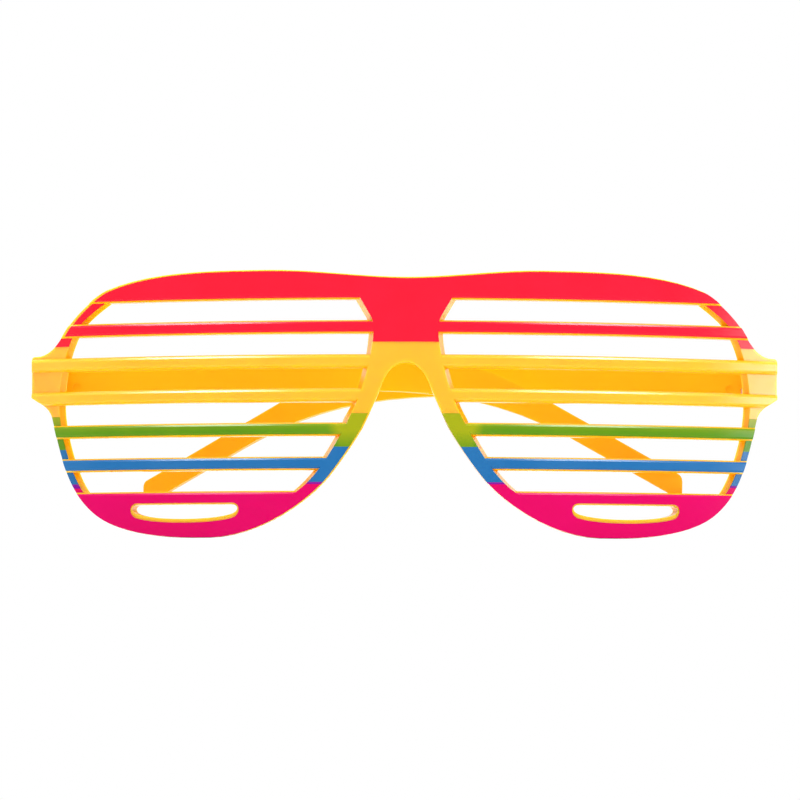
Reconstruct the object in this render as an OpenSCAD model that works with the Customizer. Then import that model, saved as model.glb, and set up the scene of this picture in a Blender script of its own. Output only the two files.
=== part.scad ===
// Slatted party glasses, folded: a moulded front with two lens openings crossed by slats,
// two arms on hinge pins, and four coats of ink on the faces of the front.
// The front looks towards -Y, +X is the viewer's right, +Z is up.
// The origin is at the crown of the nose notch, in the middle of the moulding's thickness.
// Heights in the sizes below are counted from the lowest points of the rims.

/* [Front] */
// Width over both end pieces
front_w = 149.6; // [146:0.1:156]
// Radius to which the front is wrapped around the face
wrap_r = 160; // [145:1:190]
// Thickness of the moulding, front to back
front_t = 3; // [2.6:0.1:3.6]
// How far the outer rims lie behind the faces of the slats
rim_step = 1.2; // [0.6:0.1:1.6]
// Height of the brow above the lens openings
brow_h = 5.9; // [5:0.1:8]
// How far the brow dips at the bridge
brow_dip = 1.5; // [0:0.05:2]
// Height of the band below the lens openings
band_h = 9.1; // [8.4:0.1:11]
// Width of the bridge between the lens openings
bridge_w = 13; // [12.4:0.1:15]

/* [Slats] */
// Height of one slat
slat_h = 2.65; // [2:0.05:3]
// Clear height between two slats
slat_gap = 4.07; // [3.8:0.01:4.4]
// Height of the sloping edge between a slat's gap and its flat face
edge_h = 0.65; // [0.45:0.05:0.8]
// How far a slat's edge lies behind its flat face where it meets the gap
edge_depth = 0.75; // [0.5:0.05:0.9]

/* [Nose] */
// Height of the nose notch's crown above the rims' lowest points
nose_top = 34.4; // [33:0.1:36]
// Length of a nose pad along the rim
pad_l = 12; // [10:0.5:13]
// How far a nose pad stands back from the front face
pad_depth = 8.5; // [6:0.5:11]
// Thickness of a nose pad
pad_t = 1.5; // [1.2:0.1:1.8]
// Angle at which a nose pad opens backwards
pad_flare = 14; // [5:1:18]

/* [Hand slots] */
// Distance of the slot's middle inwards from the end of the front
slot_in = 31.2; // [29.8:0.1:32.8]
// Length of the slot
slot_l = 21.5; // [17:0.5:22]
// Height of the slot's straight edge above the rims' lowest points
slot_top = 6.5; // [6:0.1:7]
// Height of the slot at its middle
slot_h = 2.85; // [2.4:0.05:3.6]

/* [End pieces and hinges] */
// Height of an end piece's outline
lug_h = 8.7; // [8:0.1:10]
// Height of an end piece's middle above the middle of the third gap
lug_raise = 0.95; // [0:0.05:1.2]
// Distance of a hinge pin inwards from the end of the front
pin_in = 3.8; // [3.4:0.1:4.2]
// Distance of a hinge pin behind the front face at its end
pin_back = 6.44; // [6.3:0.02:8.4]
// Diameter of a hinge pin
pin_d = 1.5; // [1.2:0.1:1.8]
// Radius of the ears on the inner side of a pin
ear_r = 2.4; // [2.3:0.05:2.5]
// Height of the two ears with the slot between them
ear_h = 7.6; // [7.2:0.1:8]
// Height of the slot between two ears
ear_slot = 3.1; // [2.8:0.1:3.6]
// Radius of the arm's knuckle
knuckle_r = 2.1; // [1.9:0.05:2.15]

/* [Arms] */
// How far a folded arm's tip stays short of the other arm's pin, along the arm
tip_in = 15.2; // [10:0.1:20]
// Thickness of an arm
arm_t = 2.6; // [2.2:0.1:3]
// Thickness of an arm at its hinge end
root_t = 4.2; // [3.8:0.1:4.2]
// Height of an arm at its hinge end
root_h = 8.1; // [7.4:0.1:8.4]
// Height of an arm before its bend
arm_h = 6.1; // [5.6:0.1:6.6]
// Distance from the pin to the start of the bend
bend_r = 84; // [80:0.5:88]
// Slope of an arm behind its bend, in degrees
bend_slope = 29.5; // [27:0.5:33]
// Width of an arm behind its bend
slope_w = 4.25; // [3.6:0.05:5]
// Direction of the folded left arm; 0 lies straight across
left_fold = -4.5; // [-4.5:0.5:0]
// Direction of the folded right arm; 0 lies straight across
right_fold = 11; // [8:0.5:14]

/* [Ink] */
// Thickness of a coat of ink
ink_t = 0.1; // [0.05:0.01:0.12]
// How far the red print is shifted to the viewer's right
ink_shift = 0.45; // [0:0.05:0.6]
// How far the lower print stays short of the left rim's nose edge
ink_short = 0.35; // [0:0.05:0.5]
// How far the print stays below the top edge of the moulding
ink_drop = 0.25; // [0:0.05:0.4]
// How far the lowest coat of red ink reaches down the bridge below the brow
red_reach = 8.4; // [7:0.1:10]
// Height of the edge between yellow and green
green_top = 24.3; // [23:0.1:26]
// Height of the edge between green and blue
blue_top = 17.7; // [17:0.1:19]
// Height of the edge between blue and magenta
magenta_top = 10.8; // [10:0.1:12]

/* [Hidden] */
$fn = 96;

yellow = [1, 0.76, 0.16];
orange = [1, 0.67, 0.1];
steel = [0.75, 0.75, 0.77];
red = [0.98, 0.15, 0.26];
green = [0.37, 0.6, 0.05];
blue = [0.2, 0.49, 0.77];
magenta = [0.93, 0.02, 0.43];

slat_count = 5;
red_slat = 4;
green_slat = 1;
blue_slat = 0;
pitch = slat_h + slat_gap;
brow_z = band_h + slat_gap + slat_count * pitch;
top_z = brow_z + brow_h;
half_w = front_w / 2;
half_bridge = bridge_w / 2;
lug_z = band_h + 3 * pitch + slat_gap / 2 + lug_raise;
lug_top = lug_z + lug_h / 2;
lug_foot = lug_z - lug_h / 2;
hinge_x = half_w - pin_in;
// Length of an arm from its pin to its tip
arm_l = 2 * hinge_x - tip_in;
hinge_y = wrap_r - sqrt(wrap_r * wrap_r - half_w * half_w) + pin_back;

// Directions in which the walls of an opening's two halves run back from the front face
inner_tilt = -17;
outer_tilt = 42;
slot_x = half_w - slot_in;
slot_tilt = asin(slot_x / wrap_r);
// The two halves of an opening meet where its outline runs level
split_x = 40;
level_overlap = 1;
// The outer half lies this much above the inner one, so no two level faces coincide
level_step = 0.02;
rim_x = 46;
// The sloping edge is round: steep where it meets the gap, shallow where it meets the flat face
round_h = 0.3;
round_depth = 0.25;
edge_front = 0.2;
// The openings' outlines and the coats of ink on flat faces stay this much clear of the edges
edge_clear = 0.05;
coat_from = edge_h + edge_clear;
coat_lap = 0.05;
wall_depth = 32;
wall_front = 3;
corner = 0.35;
ear_inset = 0.9;
ear_back = 2.5;
ear_sink = 1;
pad_x = 10;
pad_z = 21;
pad_lean = 30;
pad_round = 2;
pin_fit = 0.01;
pin_play = 0.05;
pin_chamfer = 0.2;
knuckle_play = 0.15;
root_r = 2.9;
root_l = 6;
taper_l = 13;
neck_r = 20;
tongue_out = 1.8;
arm_raise = 0.2;
tip_round = 1;
mark_d = 1.7;
mark_r = 5.1;
mark_depth = 0.15;
slot_margin = 0.3;
slot_drop = 0.45;
bez_steps = 10;

// Points of a cubic curve, without its last point
function bez(a, b, c, d, n = bez_steps) = [
    for (i = [0:n - 1])
        let (t = i / n, u = 1 - t)
            u * u * u * a + 3 * u * u * t * b + 3 * u * t * t * c + t * t * t * d
];
function mirrored(points) = [for (i = [len(points) - 1:-1:0]) [-points[i].x, points[i].y]];
function shifted(points, by) = [for (p = points) p + by];
function slat_z(i) = band_h + slat_gap + i * pitch;

// Right half of the brow's upper edge, from the bridge to the end piece
function brow_side() = concat(
    bez([0, top_z - brow_dip], [9, top_z - brow_dip], [18, top_z], [27, top_z]),
    bez([27, top_z], [half_w - 34.8, top_z],
        [half_w - 24, top_z], [half_w - 15.3, top_z - 3.4]),
    bez([half_w - 15.3, top_z - 3.4], [half_w - 12.6, top_z - 4.6],
        [half_w - 8.2, top_z - 8.7], [half_w - 6.6, top_z - 11.7]),
    bez([half_w - 6.6, top_z - 11.7], [half_w - 5.6, lug_top + 2.9],
        [half_w - 4.4, lug_top + 0.6], [half_w - 1.8, lug_top])
);
// Down the end piece and the outer rim to the level stretch of the rim's foot
function rim_side() = concat(
    [
        [half_w - 1.8, lug_top],
        [half_w - corner, lug_top - corner / 4],
        [half_w, lug_top - corner],
        [half_w, lug_foot + corner]
    ],
    bez([half_w - 1.2, lug_foot - 0.45], [half_w - 3.2, lug_foot - 1.5],
        [half_w - 4.05, lug_foot - 2.6], [half_w - 4.4, lug_foot - 4.4]),
    bez([half_w - 4.4, lug_foot - 4.4], [half_w - 5.1, lug_foot - 7.3],
        [half_w - 5.9, lug_foot - 10.8], [half_w - 7.05, lug_foot - 14]),
    bez([half_w - 7.05, lug_foot - 14], [half_w - 8.4, lug_foot - 17.9],
        [half_w - 10.5, 6.8], [half_w - 13.5, 4.45]),
    bez([half_w - 13.5, 4.45], [half_w - 17.6, 1.3], [half_w - 25.3, 0], [split_x + 2, 0]),
    [[split_x + 2, 0]]
);
// From the level stretch of the rim's foot to the crown of the nose notch
function nose_side() = concat(
    bez([split_x - 1.5, 0], [30.5, 0], [21.6, 4.8], [16, 10.7]),
    bez([16, 10.7], [13.9, 13], [10.3, 18.2], [8.4, 21.5]),
    bez([8.4, 21.5], [7.4, 23.6], [5.6, nose_top - 6.8], [4.6, nose_top - 4.1]),
    bez([4.6, nose_top - 4.1], [4, nose_top - 2.3], [2.4, nose_top], [0, nose_top]),
    [[0, nose_top]]
);
function outline() =
    let (half = concat(brow_side(), rim_side(), nose_side()))
        concat(half, mirrored([for (i = [1:len(half) - 2]) half[i]]));

// The openings reach over the sloping edges of brow and band, and further by a given height
function inner_opening(more = 0) =
    let (nose = half_bridge)
    concat(
        [[split_x + level_overlap, brow_z + coat_from + more]],
        [if (more > 0) [nose + 2.8, brow_z + coat_from + more]],
        [[nose + 2.8, brow_z + coat_from]],
        bez([nose + 0.4, brow_z - 3.4], [nose - 0.1, brow_z - 4.3],
            [nose - 0.2, brow_z - 6.3], [nose, brow_z - 8]),
        bez([nose, brow_z - 8], [nose + 0.3, brow_z - 11.5],
            [nose + 1.7, band_h + 20.8], [nose + 3.3, band_h + 17]),
        bez([nose + 3.3, band_h + 17], [nose + 4.9, band_h + 13.5],
            [nose + 7.5, band_h + 8.4], [nose + 10.6, band_h + 4.2]),
        bez([nose + 10.6, band_h + 4.2], [nose + 12.1, band_h + 2.2],
            [nose + 13.7, band_h + 0.6], [nose + 15.7, band_h - coat_from]),
        [[nose + 15.7, band_h - coat_from]],
        [if (more > 0) [nose + 15.7, band_h - coat_from - more]],
        [[split_x + level_overlap, band_h - coat_from - more]]
    );
function outer_opening(more = 0) = concat(
    [[split_x - level_overlap, band_h - coat_from - more]],
    [if (more > 0) [half_w - 10.5, band_h - coat_from - more]],
    bez([half_w - 10.5, band_h - coat_from], [half_w - 8.7, band_h + 1.5],
        [half_w - 7.7, band_h + 4.2], [half_w - 6.8, band_h + 6.9]),
    bez([half_w - 6.8, band_h + 6.9], [half_w - 5.1, band_h + 12.3],
        [half_w - 4.6, band_h + 16.4], [half_w - 4.9, band_h + 20.4]),
    bez([half_w - 4.9, band_h + 20.4], [half_w - 5.4, brow_z - 11.3],
        [half_w - 7, brow_z - 6.7], [half_w - 9, brow_z - 4.3]),
    bez([half_w - 9, brow_z - 4.3], [half_w - 10.4, brow_z - 2.6],
        [half_w - 12.8, brow_z - 0.9], [half_w - 15.1, brow_z + coat_from]),
    [[half_w - 15.1, brow_z + coat_from]],
    [if (more > 0) [half_w - 15.1, brow_z + coat_from + more]],
    [[split_x - level_overlap, brow_z + coat_from + more]]
);
// A slot with a straight upper edge, round ends and a bowed lower edge
function slot_outline(grow = 0, drop = 0) =
    let (
        end = slot_l / 2 + grow,
        top = slot_top + grow,
        foot = slot_top - slot_h - grow - drop,
        turn = 1.6
    )
    concat(
        bez([slot_x - end + turn, top], [slot_x - end - 0.2, top],
            [slot_x - end - 0.2, foot + 1.4], [slot_x - end + turn, foot + 0.9]),
        bez([slot_x - end + turn, foot + 0.9], [slot_x - end / 2, foot - 0.3],
            [slot_x + end / 2, foot - 0.3], [slot_x + end - turn, foot + 0.9]),
        bez([slot_x + end - turn, foot + 0.9], [slot_x + end + 0.2, foot + 1.4],
            [slot_x + end + 0.2, top], [slot_x + end - turn, top]),
        [[slot_x + end - turn, top]]
    );

// Walls through an outline that lies on the front face, square to that face at the given angle
module walls(points, tilt = 0)
    translate([0, wrap_r, 0])
        rotate([0, 0, tilt])
            translate([0, wall_depth - wrap_r, 0])
                rotate([90, 0, 0])
                    linear_extrude(wall_depth + wall_front)
                        polygon([for (p = points) [wrap_r * sin(asin(p.x / wrap_r) - tilt), p.y]]);

module both_sides() {
    children();
    mirror([1, 0, 0])
        children();
}

// Brings the crown of the nose notch to the origin
module from_nose()
    translate([0, -front_t / 2, -nose_top])
        children();

// The outline's own walls run straight back
module outline_walls(by = [0, 0])
    translate([0, wrap_r / 2, 0])
        rotate([90, 0, 0])
            linear_extrude(wrap_r / 2 + wall_front)
                polygon(shifted(outline(), by));

module opening_walls(more = 0) both_sides() {
    walls(inner_opening(more), inner_tilt);
    walls(shifted(outer_opening(more), [0, level_step]), outer_tilt);
}

module slot_walls(grow = 0, drop = 0) both_sides()
    walls(slot_outline(grow, drop), slot_tilt);

// Part of a tube around the wrap axis, between two radii and two heights
module wrapped(r_in, r_out, z0, z1)
    translate([0, wrap_r, z0])
        difference() {
            cylinder(r = r_out, h = z1 - z0);
            translate([0, 0, -1])
                cylinder(r = r_in, h = z1 - z0 + 2);
        }

// The outer rims and everything between them and the middles of the lenses
module outer_zone()
    both_sides()
        translate([rim_x, -wall_front, 0])
            cube([half_w, wrap_r / 2, top_z]);

// The front of the outer rims, where only the slats stand up to the front face
module rim_front()
    intersection() {
        outer_zone();
        wrapped(wrap_r - rim_step, wrap_r + wall_front, 0, top_z);
    }

// A profile turned about the wrap axis at a height, with its material above it or (side 1) below
module turned(points, z = 0, side = 0)
    translate([0, wrap_r, 0])
        rotate_extrude()
            translate([wrap_r, z])
                mirror([0, side])
                    polygon(points);

// The gap below slat i, or below the brow, with the sloping edges on both its sides
module gap(i)
    let (
        low = i == 0 ? band_h : slat_z(i - 1) + slat_h,
        high = slat_z(i),
        rise = edge_h + edge_front * (edge_h - round_h) / round_depth
    )
    turned([
        [-2 * front_t, low],
        [-edge_depth, low],
        [-round_depth, low - round_h],
        [edge_front, low - rise],
        [edge_front, high + rise],
        [-round_depth, high + round_h],
        [-edge_depth, high],
        [-2 * front_t, high]
    ]);

module nose_pad()
    translate([pad_x, 1, pad_z])
        rotate([0, -pad_lean, 0])
            rotate([90, 0, 90 - pad_flare])
                linear_extrude(pad_t) {
                    square([pad_depth - pad_round - 1, pad_l]);
                    translate([0, pad_round])
                        square([pad_depth - 1, pad_l - 2 * pad_round]);
                    for (z = [pad_round, pad_l - pad_round])
                        translate([pad_depth - pad_round - 1, z])
                            circle(r = pad_round, $fn = 32);
                }

// Ears that hold a hinge pin behind the right end piece
module ears() {
    difference() {
        intersection() {
            translate([0, 0, lug_z - ear_h / 2])
                linear_extrude(ear_h) {
                    translate([hinge_x, hinge_y])
                        circle(r = ear_r);
                    translate([hinge_x, hinge_y])
                        square([half_w - ear_inset - hinge_x, ear_back]);
                    translate([hinge_x - ear_r, 0])
                        square([half_w - ear_inset - hinge_x + ear_r, hinge_y]);
                }
            translate([0, wrap_r, 0])
                cylinder(r = wrap_r - front_t + ear_sink, h = top_z);
        }
        translate([0, hinge_y - knuckle_r - 2 * knuckle_play, lug_z - ear_slot / 2])
            cube([hinge_x + knuckle_r + 2 * knuckle_play, wall_depth, ear_slot]);
        translate([hinge_x, hinge_y, lug_z - ear_h])
            cylinder(d = pin_d + 2 * pin_fit, h = 2 * ear_h);
    }
}

module front_frame()
    color(yellow) from_nose() {
        difference() {
            intersection() {
                wrapped(wrap_r - front_t, wrap_r, -1, top_z + 1);
                outline_walls();
            }
            intersection() {
                union() {
                    opening_walls();
                    rim_front();
                }
                for (i = [0:slat_count])
                    gap(i);
            }
            slot_walls();
        }
        both_sides() {
            ears();
            nose_pad();
        }
    }

// Lower (side -1) and upper (side 1) edge of an arm at a distance from the pin, behind the bend
function slope_z(r, side) =
    lug_z - (r - bend_r - 3.8) * tan(bend_slope) + side * slope_w / 2 / cos(bend_slope);
function arm_profile() =
    let (
        low = lug_z + arm_raise - arm_h / 2,
        top = lug_z + arm_raise + arm_h / 2,
        foot_r = bend_r + 20.5,
        crest_r = bend_r + 13,
        tip_low = slope_z(arm_l - tip_round, -1),
        tip_top = slope_z(arm_l - tip_round, 1)
    )
    concat(
        [[root_r, lug_z - root_h / 2], [neck_r, lug_z - root_h / 2 + 0.5]],
        bez([bend_r - 29, low + 0.4], [bend_r - 11, low + 1],
            [bend_r + 4, low + 0.1], [foot_r, slope_z(foot_r, -1)]),
        [[foot_r, slope_z(foot_r, -1)]],
        bez([arm_l - tip_round, tip_low], [arm_l - 0.3, tip_low - 0.1],
            [arm_l, tip_low + 0.3], [arm_l, tip_low + tip_round], 4),
        bez([arm_l, tip_top - 1.6], [arm_l, tip_top - 0.7],
            [arm_l - 0.5, tip_top - 0.2], [arm_l - tip_round, tip_top], 4),
        [[arm_l - tip_round, tip_top]],
        bez([crest_r, slope_z(crest_r, 1)], [bend_r + 7.5, slope_z(bend_r + 7.5, 1)],
            [bend_r + 2, top - 0.1], [bend_r - 4, top]),
        [[bend_r - 4, top], [neck_r, lug_z + root_h / 2 - 0.3], [root_r, lug_z + root_h / 2]]
    );

// An arm that points along +X from its pin at the origin, with its inner face towards -Y
module temple()
    difference() {
        union() {
            intersection() {
                translate([0, root_t, 0])
                    rotate([90, 0, 0])
                        linear_extrude(2 * root_t)
                            polygon(arm_profile());
                linear_extrude(top_z)
                    polygon([
                        [0, -arm_t / 2],
                        [arm_l + 1, -arm_t / 2],
                        [arm_l + 1, arm_t / 2 - 0.4],
                        [bend_r, arm_t / 2],
                        [root_l + taper_l, arm_t / 2],
                        [root_l, root_t - arm_t / 2],
                        [0, root_t - arm_t / 2]
                    ]);
            }
            translate([0, 0, lug_z - ear_slot / 2 + knuckle_play]) {
                cylinder(r = knuckle_r, h = ear_slot - 2 * knuckle_play);
                translate([0, -arm_t / 2, 0])
                    cube([root_r + 1, arm_t / 2 + tongue_out, ear_slot - 2 * knuckle_play]);
            }
        }
        translate([0, 0, lug_z - ear_slot])
            cylinder(d = pin_d + 2 * pin_play, h = 2 * ear_slot);
        translate([mark_r, mark_depth - arm_t / 2, lug_z - 1.6])
            rotate([90, 0, 0])
                cylinder(d = mark_d, h = 1, $fn = 32);
    }

module left_temple()
    color(orange) from_nose()
        translate([-hinge_x, hinge_y, 0])
            rotate([0, 0, left_fold])
                temple();

module right_temple()
    color(orange) from_nose()
        mirror([1, 0, 0])
            translate([-hinge_x, hinge_y, 0])
                rotate([0, 0, right_fold])
                    temple();

module hinge_pin()
    color(steel) from_nose()
        translate([hinge_x, hinge_y, lug_z - ear_h / 2 + pin_chamfer])
            rotate_extrude()
                polygon([
                    [0, 0],
                    [pin_d / 2 - pin_chamfer, 0],
                    [pin_d / 2, pin_chamfer],
                    [pin_d / 2, ear_h - 3 * pin_chamfer],
                    [pin_d / 2 - pin_chamfer, ear_h - 2 * pin_chamfer],
                    [0, ear_h - 2 * pin_chamfer]
                ]);

module left_hinge_pin()
    mirror([1, 0, 0])
        hinge_pin();

module right_hinge_pin() hinge_pin();

// Walls of the red print, which is shifted against the moulding's upper edge
module red_walls()
    intersection() {
        outline_walls();
        union() {
            outline_walls([ink_shift, -ink_drop]);
            translate([-front_w, -wall_front, 0])
                cube([2 * front_w, wrap_r / 2, slat_z(red_slat)]);
        }
    }

// Walls of the lower print, which stays short of the left rim's nose edge
module low_walls()
    intersection() {
        outline_walls();
        union() {
            outline_walls([-ink_short, -level_step]);
            outer_zone();
        }
    }

// Ink on the front face between two heights
module face_coat(z0, z1)
    difference() {
        wrapped(wrap_r, wrap_r + ink_t, z0, z1);
        opening_walls();
        slot_walls(slot_margin, slot_drop);
        intersection() {
            outer_zone();
            wrapped(wrap_r - 1, wrap_r + 1, band_h - coat_from, brow_z + coat_from);
        }
    }

// Ink on the shallow part of one sloping edge
module edge_coat(z, side)
    intersection() {
        turned([
            [-round_depth, round_h],
            [0, edge_h],
            [0, coat_from + coat_lap],
            [ink_t, coat_from + coat_lap],
            [ink_t, edge_h],
            [ink_t - round_depth, round_h]
        ], z, side);
        union() {
            opening_walls(2 * coat_lap);
            outer_zone();
        }
    }

// Ink on the flat face of one slat and on its two edges
module slat_coat(i) {
    wrapped(wrap_r, wrap_r + ink_t, slat_z(i) + coat_from, slat_z(i) + slat_h - coat_from);
    for (side = [0, 1])
        edge_coat(slat_z(i) + side * slat_h, side);
}

// Ink on the outer rims between two slats
module rim_coat(z0, z1)
    difference() {
        intersection() {
            wrapped(wrap_r - rim_step, wrap_r - rim_step + ink_t, z0, z1);
            outer_zone();
        }
        opening_walls();
    }

module red_ink()
    color(red) from_nose()
        intersection() {
            red_walls();
            union() {
                face_coat(brow_z - red_reach, top_z + 1);
                slat_coat(red_slat);
                edge_coat(brow_z, 0);
                rim_coat(slat_z(red_slat) + slat_h, brow_z);
                rim_coat(brow_z - red_reach, slat_z(red_slat));
            }
        }

module green_ink()
    color(green) from_nose()
        intersection() {
            low_walls();
            union() {
                face_coat(blue_top, green_top);
                slat_coat(green_slat);
                rim_coat(slat_z(green_slat) + slat_h, green_top);
                rim_coat(blue_top, slat_z(green_slat));
            }
        }

module blue_ink()
    color(blue) from_nose()
        intersection() {
            low_walls();
            union() {
                face_coat(magenta_top, blue_top);
                slat_coat(blue_slat);
                rim_coat(slat_z(blue_slat) + slat_h, blue_top);
                rim_coat(magenta_top, slat_z(blue_slat));
            }
        }

module magenta_ink()
    color(magenta) from_nose()
        intersection() {
            low_walls();
            union() {
                face_coat(-1, magenta_top);
                edge_coat(band_h, 1);
                rim_coat(band_h, magenta_top);
            }
        }

front_frame();
left_temple();
right_temple();
left_hinge_pin();
right_hinge_pin();
red_ink();
green_ink();
blue_ink();
magenta_ink();
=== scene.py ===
"""Studio scene of folded, slatted party glasses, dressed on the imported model.

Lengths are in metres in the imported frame: +X runs to the viewer's right along the front, +Y from
the front towards the wearer, +Z up, and the origin is at the crown of the nose notch.
"""

import logging
import math
from dataclasses import dataclass
from enum import Enum

import bpy
from mathutils import Matrix, Vector

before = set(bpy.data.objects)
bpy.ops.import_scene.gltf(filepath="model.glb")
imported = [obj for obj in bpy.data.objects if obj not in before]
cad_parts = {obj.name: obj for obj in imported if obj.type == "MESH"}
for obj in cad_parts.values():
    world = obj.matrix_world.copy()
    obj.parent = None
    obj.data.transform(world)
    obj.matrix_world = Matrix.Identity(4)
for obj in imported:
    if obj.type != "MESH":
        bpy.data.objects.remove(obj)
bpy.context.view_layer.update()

log = logging.getLogger("party_glasses")

MM = 0.001
FLOOR_Z = -34.4 * MM
FLOOR_GAP = 0.02 * MM
LEFT_RIM_X = (-60.5 * MM, -59.5 * MM)
NOSE_RIM_X = (13 * MM, 15.5 * MM)

Colour = tuple[float, float, float]


def from_screen(red: int, green: int, blue: int) -> Colour:
    """Turns a colour as a screen shows it into the linear light that shaders take.

    Args:
        red: Red, from 0 to 255.
        green: Green, from 0 to 255.
        blue: Blue, from 0 to 255.

    Returns:
        The three linear values.
    """

    def linear(value: float) -> float:
        """Undoes the screen's curve for one value from 0 to 1."""
        return value / 12.92 if value <= 0.04045 else ((value + 0.055) / 1.055) ** 2.4

    return (linear(red / 255), linear(green / 255), linear(blue / 255))


class Side(Enum):
    """The two sides of the glasses, as seen from the front."""

    LEFT = -1
    RIGHT = 1


class Graph:
    """A material's or world's node tree, with short calls to add and join nodes."""

    def __init__(self, tree: bpy.types.NodeTree) -> None:
        """Starts from an empty tree.

        Args:
            tree: The tree to fill.
        """
        self.tree = tree
        tree.nodes.clear()

    def add(self, kind: str, **values: object) -> bpy.types.Node:
        """Adds a node and sets its properties.

        Args:
            kind: The node's type name.
            **values: Properties of the node.

        Returns:
            The new node.
        """
        node = self.tree.nodes.new(kind)
        for name, value in values.items():
            setattr(node, name, value)
        return node

    def put(self, node: bpy.types.Node, **values: object) -> bpy.types.Node:
        """Sets a node's input values by name, with _ for a space.

        Args:
            node: The node.
            **values: Input names and their values.

        Returns:
            The same node.
        """
        for name, value in values.items():
            node.inputs[name.replace("_", " ")].default_value = value
        return node

    def join(self, source: bpy.types.NodeSocket, target: bpy.types.NodeSocket) -> None:
        """Links one socket to another."""
        self.tree.links.new(source, target)

    def object_point(self) -> bpy.types.NodeSocket:
        """Adds the object's own coordinates and returns their socket."""
        return self.add("ShaderNodeTexCoord").outputs["Object"]

    def noise(self, point: bpy.types.NodeSocket, size: float, detail: float = 2.0) -> bpy.types.NodeSocket:
        """Adds a noise pattern.

        Args:
            point: The coordinates it reads.
            size: Size of one patch, in metres.
            detail: How many finer layers it has.

        Returns:
            The pattern's value socket.
        """
        node = self.put(self.add("ShaderNodeTexNoise"), Scale=1.0 / size, Detail=detail, Roughness=0.5)
        self.join(point, node.inputs["Vector"])
        return node.outputs["Fac"]

    def ranged(self, value: bpy.types.NodeSocket, low: float, high: float,
               start: float = 0.35, end: float = 0.65) -> bpy.types.NodeSocket:
        """Maps a value to a new range.

        Args:
            value: The value to map.
            low: The result at start.
            high: The result at end.
            start: Where the range starts.
            end: Where the range ends.

        Returns:
            The mapped value.
        """
        node = self.add("ShaderNodeMapRange")
        self.join(value, node.inputs["Value"])
        for name, number in (("From Min", start), ("From Max", end), ("To Min", low), ("To Max", high)):
            node.inputs[name].default_value = number
        return node.outputs["Result"]

    def mixed(self, share: bpy.types.NodeSocket, first: Colour, second: Colour) -> bpy.types.NodeSocket:
        """Mixes two colours.

        Args:
            share: How much of the second colour shows.
            first: The colour at 0.
            second: The colour at 1.

        Returns:
            The mixed colour.
        """
        node = self.add("ShaderNodeMix", data_type="RGBA")
        self.join(share, node.inputs["Factor"])
        node.inputs["A"].default_value = (*first, 1)
        node.inputs["B"].default_value = (*second, 1)
        return node.outputs["Result"]

    def total(self, first: bpy.types.NodeSocket, second: bpy.types.NodeSocket) -> bpy.types.NodeSocket:
        """Adds two values and returns their sum."""
        node = self.add("ShaderNodeMath", operation="ADD")
        self.join(first, node.inputs[0])
        self.join(second, node.inputs[1])
        return node.outputs["Value"]

    def over(self, share: bpy.types.NodeSocket, colour: bpy.types.NodeSocket,
             top: Colour) -> bpy.types.NodeSocket:
        """Lays one more colour over a colour that other nodes make.

        Args:
            share: How much of the top colour shows.
            colour: The colour under it.
            top: The top colour.

        Returns:
            The mixed colour.
        """
        node = self.add("ShaderNodeMix", data_type="RGBA")
        self.join(share, node.inputs["Factor"])
        self.join(colour, node.inputs["A"])
        node.inputs["B"].default_value = (*top, 1)
        return node.outputs["Result"]


@dataclass(frozen=True)
class GlossPlastic:
    """Moulded plastic straight from a polished tool: even colour, soft flow marks, a little see-through,
    with optional painted shade along X.
    """

    name: str
    colour: Colour
    deep_colour: Colour
    roughness: float = 0.17
    sheen_level: float = 0.4
    glow: float = 1.0
    glow_depth: float = 2.5 * MM
    glow_reach: Colour = (1.0, 0.62, 0.08)
    # Optional painted shade: a darker colour blended in along X, between two X positions.
    painted_shade_colour: Colour | None = None
    painted_shade_from: float = 0.0
    painted_shade_to: float = 0.0
    flow_size: float = 22 * MM
    ripple_size: float = 3.5 * MM
    ripple_height: float = 0.012 * MM

    def material(self) -> bpy.types.Material:
        """Builds the finish.

        Returns:
            The material.
        """
        made = bpy.data.materials.new(self.name)
        made.use_nodes = True
        graph = Graph(made.node_tree)
        point = graph.object_point()
        shader = graph.add("ShaderNodeBsdfPrincipled")
        graph.put(shader, IOR=1.5, Specular_IOR_Level=self.sheen_level)
        graph.put(shader, Subsurface_Weight=self.glow, Subsurface_Scale=self.glow_depth)
        shader.inputs["Subsurface Radius"].default_value = self.glow_reach
        flow = graph.ranged(graph.noise(point, self.flow_size), 0.0, 1.0)
        colour = graph.mixed(flow, self.colour, self.deep_colour)
        if self.painted_shade_colour is not None:
            # Painted shade: blends the colour towards the darker shade colour along X.
            split = graph.add("ShaderNodeSeparateXYZ")
            graph.join(point, split.inputs["Vector"])
            shade_share = graph.ranged(split.outputs["X"], 0.0, 1.0, self.painted_shade_from, self.painted_shade_to)
            colour = graph.over(shade_share, colour, self.painted_shade_colour)
        graph.join(colour, shader.inputs["Base Color"])
        fine = graph.noise(point, self.ripple_size, 3.0)
        rough = graph.ranged(fine, self.roughness * 0.85, self.roughness * 1.2)
        graph.join(rough, shader.inputs["Roughness"])
        bump = graph.put(graph.add("ShaderNodeBump"), Strength=1.0, Distance=self.ripple_height)
        graph.join(fine, bump.inputs["Height"])
        graph.join(bump.outputs["Normal"], shader.inputs["Normal"])
        out = graph.add("ShaderNodeOutputMaterial")
        graph.join(shader.outputs["BSDF"], out.inputs["Surface"])
        return made


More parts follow.
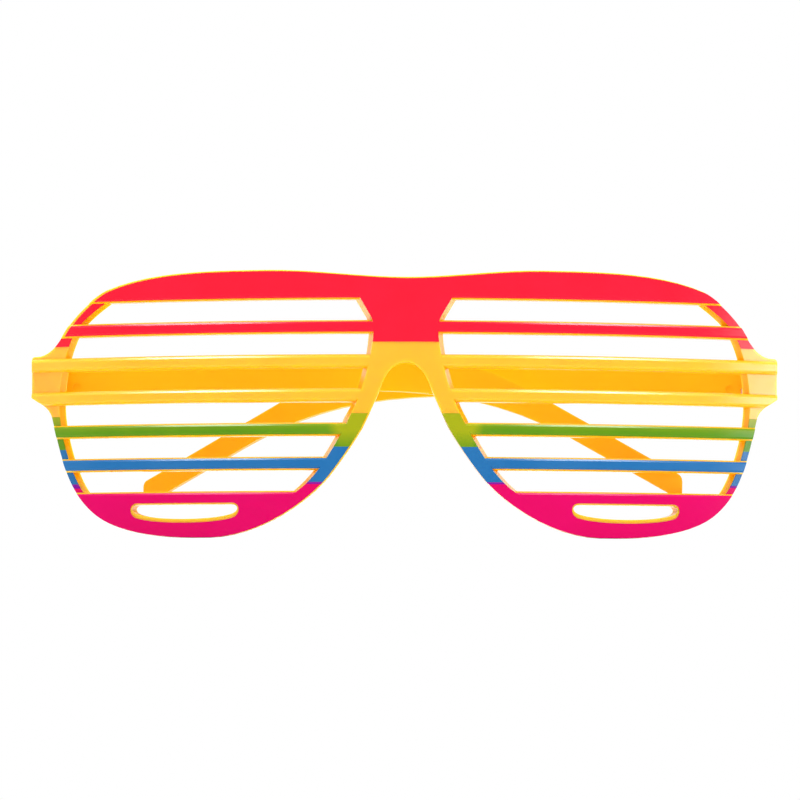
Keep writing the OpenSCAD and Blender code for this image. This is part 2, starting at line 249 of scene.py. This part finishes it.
@dataclass(frozen=True)
class PadPrint:
    """A thin, glossy coat of pad-printed ink that follows the plastic under it."""

    name: str
    colour: Colour
    thin_colour: Colour
    roughness: float = 0.17
    sheen_level: float = 0.2
    patch_size: float = 9 * MM
    speck_size: float = 0.5 * MM
    speck_height: float = 0.003 * MM
    edge_colour: Colour | None = None
    edge_from: float = 0.0
    edge_to: float = 0.0
    left_reach: float = 0.0
    nose_reach: float = 0.0

    def material(self) -> bpy.types.Material:
        """Builds the finish.

        Returns:
            The material.
        """
        made = bpy.data.materials.new(self.name)
        made.use_nodes = True
        graph = Graph(made.node_tree)
        point = graph.object_point()
        shader = graph.add("ShaderNodeBsdfPrincipled")
        graph.put(shader, IOR=1.5, Specular_IOR_Level=self.sheen_level)
        patch = graph.ranged(graph.noise(point, self.patch_size), 0.0, 0.55)
        colour = graph.mixed(patch, self.colour, self.thin_colour)
        if self.edge_colour is not None:
            colour = self.edged(graph, point, colour)
        graph.join(colour, shader.inputs["Base Color"])
        speck = graph.noise(point, self.speck_size, 2.0)
        rough = graph.ranged(speck, self.roughness * 0.9, self.roughness * 1.25)
        graph.join(rough, shader.inputs["Roughness"])
        bump = graph.put(graph.add("ShaderNodeBump"), Strength=0.6, Distance=self.speck_height)
        graph.join(speck, bump.inputs["Height"])
        graph.join(bump.outputs["Normal"], shader.inputs["Normal"])
        out = graph.add("ShaderNodeOutputMaterial")
        graph.join(shader.outputs["BSDF"], out.inputs["Surface"])
        return made

    def edged(self, graph: Graph, point: bpy.types.NodeSocket,
              colour: bpy.types.NodeSocket) -> bpy.types.NodeSocket:
        """Lays the edge colour over the coat's upper edge, further down on the left rim and by the nose.

        Args:
            graph: The material's graph.
            point: The object's own coordinates.
            colour: The coat's colour.

        Returns:
            The colour with its edge.
        """
        split = graph.add("ShaderNodeSeparateXYZ")
        graph.join(point, split.inputs["Vector"])
        outer = graph.ranged(split.outputs["X"], self.left_reach, 0.0, *LEFT_RIM_X)
        away = graph.add("ShaderNodeMath", operation="ABSOLUTE")
        graph.join(split.outputs["X"], away.inputs[0])
        inner = graph.ranged(away.outputs["Value"], self.nose_reach, 0.0, *NOSE_RIM_X)
        height = graph.total(split.outputs["Z"], graph.total(outer, inner))
        share = graph.ranged(height, 0.0, 1.0, self.edge_from, self.edge_to)
        return graph.over(share, colour, self.edge_colour)


@dataclass(frozen=True)
class DrawnSteel:
    """Bright drawn wire, with fine marks along its length."""

    name: str = "drawn_steel"
    colour: Colour = (0.62, 0.62, 0.64)
    roughness: float = 0.3
    mark_size: float = 0.08 * MM

    def material(self) -> bpy.types.Material:
        """Builds the finish.

        Returns:
            The material.
        """
        made = bpy.data.materials.new(self.name)
        made.use_nodes = True
        graph = Graph(made.node_tree)
        stretch = graph.add("ShaderNodeMapping")
        stretch.inputs["Scale"].default_value = (1.0, 1.0, 0.05)
        graph.join(graph.object_point(), stretch.inputs["Vector"])
        shader = graph.put(graph.add("ShaderNodeBsdfPrincipled"), Metallic=1.0)
        marks = graph.noise(stretch.outputs["Vector"], self.mark_size)
        paler = tuple(min(1.0, value * 1.15) for value in self.colour)
        graph.join(graph.mixed(marks, self.colour, paler), shader.inputs["Base Color"])
        rough = graph.ranged(marks, self.roughness * 0.7, self.roughness * 1.3)
        graph.join(rough, shader.inputs["Roughness"])
        out = graph.add("ShaderNodeOutputMaterial")
        graph.join(shader.outputs["BSDF"], out.inputs["Surface"])
        return made


def dress(node: str, material: bpy.types.Material) -> bpy.types.Object:
    """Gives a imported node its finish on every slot.

    Args:
        node: The node's name.
        material: The finish.

    Returns:
        The node's object.
    """
    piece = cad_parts[node]
    if not piece.material_slots:
        piece.data.materials.append(material)
    for slot in piece.material_slots:
        slot.material = material
    log.info("dressed %s in %s", node, material.name)
    return piece


@dataclass
class Front:
    """The moulded front with its slats, end pieces, ears and nose pads."""

    plastic: GlossPlastic = GlossPlastic(
        name="yellow_plastic",
        colour=from_screen(255, 192, 36),
        deep_colour=from_screen(255, 186, 28),
    )

    def build(self) -> None:
        """Dresses the moulding."""
        dress("front_frame", self.plastic.material())


@dataclass
class Arms:
    """The two folded arms and the steel pins that they turn on."""

    # The arms are the front's yellow plastic. Their brighter, more saturated base colours are painted light
    # that offsets the shade behind the front, and the darker orange towards one end is painted shade.
    near_plastic: GlossPlastic = GlossPlastic(
        name="near_arm_plastic",
        colour=from_screen(255, 200, 6),
        deep_colour=from_screen(255, 192, 2),
        roughness=0.42,
        sheen_level=0.2,
        glow=0.3,
        # Painted shade: slightly oranger towards +X.
        painted_shade_colour=from_screen(255, 188, 12),
        painted_shade_from=-20 * MM,
        painted_shade_to=50 * MM,
    )
    far_plastic: GlossPlastic = GlossPlastic(
        name="far_arm_plastic",
        colour=from_screen(255, 198, 6),
        deep_colour=from_screen(255, 190, 2),
        roughness=0.42,
        sheen_level=0.2,
        glow=0.3,
        # Painted shade: deeper orange from the nose notch towards the left, where the far arm lies in
        # shadow behind the near arm and the front.
        painted_shade_colour=from_screen(252, 164, 2),
        painted_shade_from=10 * MM,
        painted_shade_to=-40 * MM,
    )
    steel: DrawnSteel = DrawnSteel()

    def build(self) -> None:
        """Dresses both arms and both pins."""
        steel = self.steel.material()
        for side, plastic in ((Side.LEFT, self.near_plastic), (Side.RIGHT, self.far_plastic)):
            name = side.name.lower()
            dress(f"{name}_temple", plastic.material())
            dress(f"{name}_hinge_pin", steel)


@dataclass
class Print:
    """The four coats of ink on the faces of the front."""

    red: PadPrint = PadPrint(
        name="red_print",
        colour=from_screen(250, 8, 46),
        thin_colour=from_screen(252, 14, 52),
        sheen_level=0.22,
    )
    green: PadPrint = PadPrint(
        name="green_print",
        colour=from_screen(84, 139, 0),
        thin_colour=from_screen(104, 148, 0),
        edge_colour=from_screen(158, 166, 0),
        edge_from=-13.4 * MM,
        edge_to=-9.6 * MM,
        nose_reach=3.9 * MM,
    )
    blue: PadPrint = PadPrint(
        name="blue_print",
        colour=from_screen(22, 105, 168),
        thin_colour=from_screen(40, 112, 172),
    )
    magenta: PadPrint = PadPrint(
        name="magenta_print",
        colour=from_screen(216, 0, 96),
        thin_colour=from_screen(220, 0, 102),
        sheen_level=0.08,
        edge_colour=from_screen(132, 18, 150),
        edge_from=-24.02 * MM,
        edge_to=-23.98 * MM,
        left_reach=0.45 * MM,
    )

    def build(self) -> None:
        """Dresses the four coats."""
        for node, ink in (
            ("red_ink", self.red),
            ("green_ink", self.green),
            ("blue_ink", self.blue),
            ("magenta_ink", self.magenta),
        ):
            dress(node, ink.material())


@dataclass
class Studio:
    """The pale floor, the white surround, the soft boxes and the camera."""

    aim: Vector = Vector((0.0, -1.5 * MM, -8.3 * MM))
    distance: float = 875 * MM
    elevation: float = math.radians(-3.5)
    azimuth: float = math.radians(-0.62)
    roll: float = math.radians(0.11)
    focal_pixels: float = 4457.0
    image_pixels: float = 800.0
    principal: tuple[float, float] = (405.8, 404.0)
    sensor: float = 36.0
    floor_size: float = 6.0
    floor_colour: Colour = (0.82, 0.82, 0.82)
    light_strength: float = 0.7
    white_strength: float = 1.0

    def build(self) -> None:
        """Builds the whole studio."""
        self.floor()
        self.surround()
        self.lamps()
        self.camera()

    def floor(self) -> None:
        """Lays the pale floor, which the low camera looks through from underneath."""
        bpy.ops.object.select_all(action="DESELECT")
        bpy.ops.mesh.primitive_plane_add(size=self.floor_size, location=(0, 0, FLOOR_Z - FLOOR_GAP))
        floor = bpy.context.object
        floor.name = "pale_floor"
        made = bpy.data.materials.new("pale_floor")
        made.use_nodes = True
        graph = Graph(made.node_tree)
        matt = graph.add("ShaderNodeBsdfDiffuse")
        matt.inputs["Color"].default_value = (*self.floor_colour, 1)
        clear = graph.add("ShaderNodeBsdfTransparent")
        path = graph.add("ShaderNodeLightPath")
        below = graph.add("ShaderNodeNewGeometry")
        both = graph.add("ShaderNodeMath", operation="MULTIPLY")
        graph.join(path.outputs["Is Camera Ray"], both.inputs[0])
        graph.join(below.outputs["Backfacing"], both.inputs[1])
        choice = graph.add("ShaderNodeMixShader")
        graph.join(both.outputs["Value"], choice.inputs["Fac"])
        graph.join(matt.outputs["BSDF"], choice.inputs[1])
        graph.join(clear.outputs["BSDF"], choice.inputs[2])
        out = graph.add("ShaderNodeOutputMaterial")
        graph.join(choice.outputs["Shader"], out.inputs["Surface"])
        floor.data.materials.append(made)

    def surround(self) -> None:
        """Makes the world white to look at and grey as a light."""
        world = bpy.data.worlds.new("white_surround")
        bpy.context.scene.world = world
        world.use_nodes = True
        graph = Graph(world.node_tree)
        path = graph.add("ShaderNodeLightPath")
        seen = graph.add("ShaderNodeMath", operation="ADD", use_clamp=True)
        graph.join(path.outputs["Is Camera Ray"], seen.inputs[0])
        through = graph.add("ShaderNodeMath", operation="ADD", use_clamp=True)
        graph.join(path.outputs["Is Glossy Ray"], through.inputs[0])
        graph.join(path.outputs["Is Transmission Ray"], through.inputs[1])
        graph.join(through.outputs["Value"], seen.inputs[1])
        lamp = graph.put(graph.add("ShaderNodeBackground"), Strength=self.light_strength)
        lamp.inputs["Color"].default_value = (1, 1, 1, 1)
        white = graph.put(graph.add("ShaderNodeBackground"), Strength=self.white_strength)
        white.inputs["Color"].default_value = (1, 1, 1, 1)
        choice = graph.add("ShaderNodeMixShader")
        graph.join(seen.outputs["Value"], choice.inputs["Fac"])
        graph.join(lamp.outputs["Background"], choice.inputs[1])
        graph.join(white.outputs["Background"], choice.inputs[2])
        out = graph.add("ShaderNodeOutputWorld")
        graph.join(choice.outputs["Shader"], out.inputs["Surface"])

    def lamp(self, name: str, place: Vector, size: tuple[float, float], power: float) -> None:
        """Hangs a soft box that points at the glasses.

        Args:
            name: The lamp's name.
            place: Where it hangs.
            size: The width and height of its face.
            power: Its power in watts.
        """
        light = bpy.data.lights.new(name, "AREA")
        light.shape = "RECTANGLE"
        light.size, light.size_y = size
        light.energy = power
        holder = bpy.data.objects.new(name, light)
        bpy.context.scene.collection.objects.link(holder)
        holder.location = place
        holder.rotation_euler = (self.aim - place).to_track_quat("-Z", "Y").to_euler()

    def lamps(self) -> None:
        """Hangs two boxes overhead, two behind them for the slats' edges and one at each side."""
        for side in Side:
            name = side.name.lower()
            self.lamp(f"{name}_overhead_box", Vector((side.value * 0.33, -0.11, 0.8)), (0.32, 0.15), 3.9)
            self.lamp(f"{name}_edge_box", Vector((side.value * 0.4, 0.33, 0.8)), (0.1, 0.26), 1.3)
        self.lamp("left_box", Vector((-0.82, -0.47, 0.12)), (0.14, 0.3), 0.12)
        self.lamp("right_box", Vector((0.84, -0.45, 0.1)), (0.16, 0.3), 1.4)

    def camera(self) -> None:
        """Sets the camera at the photograph's angle and framing."""
        shot = bpy.data.cameras.new("camera")
        shot.sensor_width = self.sensor
        shot.lens = self.focal_pixels / self.image_pixels * self.sensor
        shot.shift_x = (self.image_pixels / 2 - self.principal[0]) / self.image_pixels
        shot.shift_y = (self.principal[1] - self.image_pixels / 2) / self.image_pixels
        holder = bpy.data.objects.new("camera", shot)
        bpy.context.scene.collection.objects.link(holder)
        level = math.cos(self.elevation)
        across = math.sin(self.azimuth) * level
        ahead = -math.cos(self.azimuth) * level
        back = Vector((across, ahead, math.sin(self.elevation)))
        place = self.aim + self.distance * back
        turn = (-back).to_track_quat("-Z", "Y").to_matrix().to_4x4()
        holder.matrix_world = Matrix.Translation(place) @ turn @ Matrix.Rotation(self.roll, 4, "Z")
        bpy.context.scene.camera = holder


def main() -> None:
    """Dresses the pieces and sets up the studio."""
    logging.basicConfig(level=logging.INFO, format="%(name)s: %(message)s")
    bpy.context.scene.view_settings.view_transform = "Standard"
    for part in (Front(), Arms(), Print(), Studio()):
        part.build()
        log.info("built %s", type(part).__name__)


if __name__ == "__main__":
    main()
